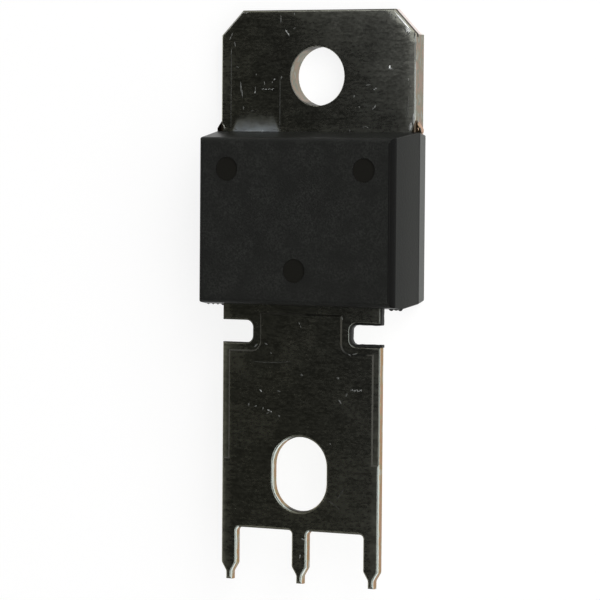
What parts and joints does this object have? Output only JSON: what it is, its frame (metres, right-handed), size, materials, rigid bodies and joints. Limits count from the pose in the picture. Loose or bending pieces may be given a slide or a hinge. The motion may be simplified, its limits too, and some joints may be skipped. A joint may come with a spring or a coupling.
{
  "type": "power diode",
  "caption": "Power diode in a flat tab package: plated copper cathode tab with a screw hole, black moulded body, and a wide flat anode lead with an oval hole and pointed board pins.",
  "frame": {"origin": "axis of the tab hole, on the flat heat-sink face", "axes": "+X across the width, +Y towards the end of the cathode tab, +Z out of the moulded front face; the part lies on its heat-sink face"},
  "size_m": [0.0156, 0.0397, 0.0048],
  "materials": {
    "tab_plating": "nickel-plated copper sheet, finely brushed across its width, bare copper on the sheared edges",
    "lead_plating": "nickel-plated copper strip, finely brushed across its width, bare copper on the sheared edges",
    "moulded_resin": "black filled epoxy, fine matte grain, glossier ejector marks",
    "silicon": "polished silicon with an aluminium bond pad",
    "solder": "dull solder",
    "wire_aluminium": "drawn aluminium wire"
  },
  "bodies": {
    "root": {"cathode_tab": "tab_plating", "anode_lead": "lead_plating", "epoxy_body": "moulded_resin", "silicon_die": "silicon", "die_attach_solder": "solder", "bond_wire_1": "wire_aluminium", "bond_wire_2": "wire_aluminium", "bond_wire_3": "wire_aluminium", "bond_wire_4": "wire_aluminium", "bond_wire_5": "wire_aluminium", "bond_wire_6": "wire_aluminium"}
  },
  "joints": []
}
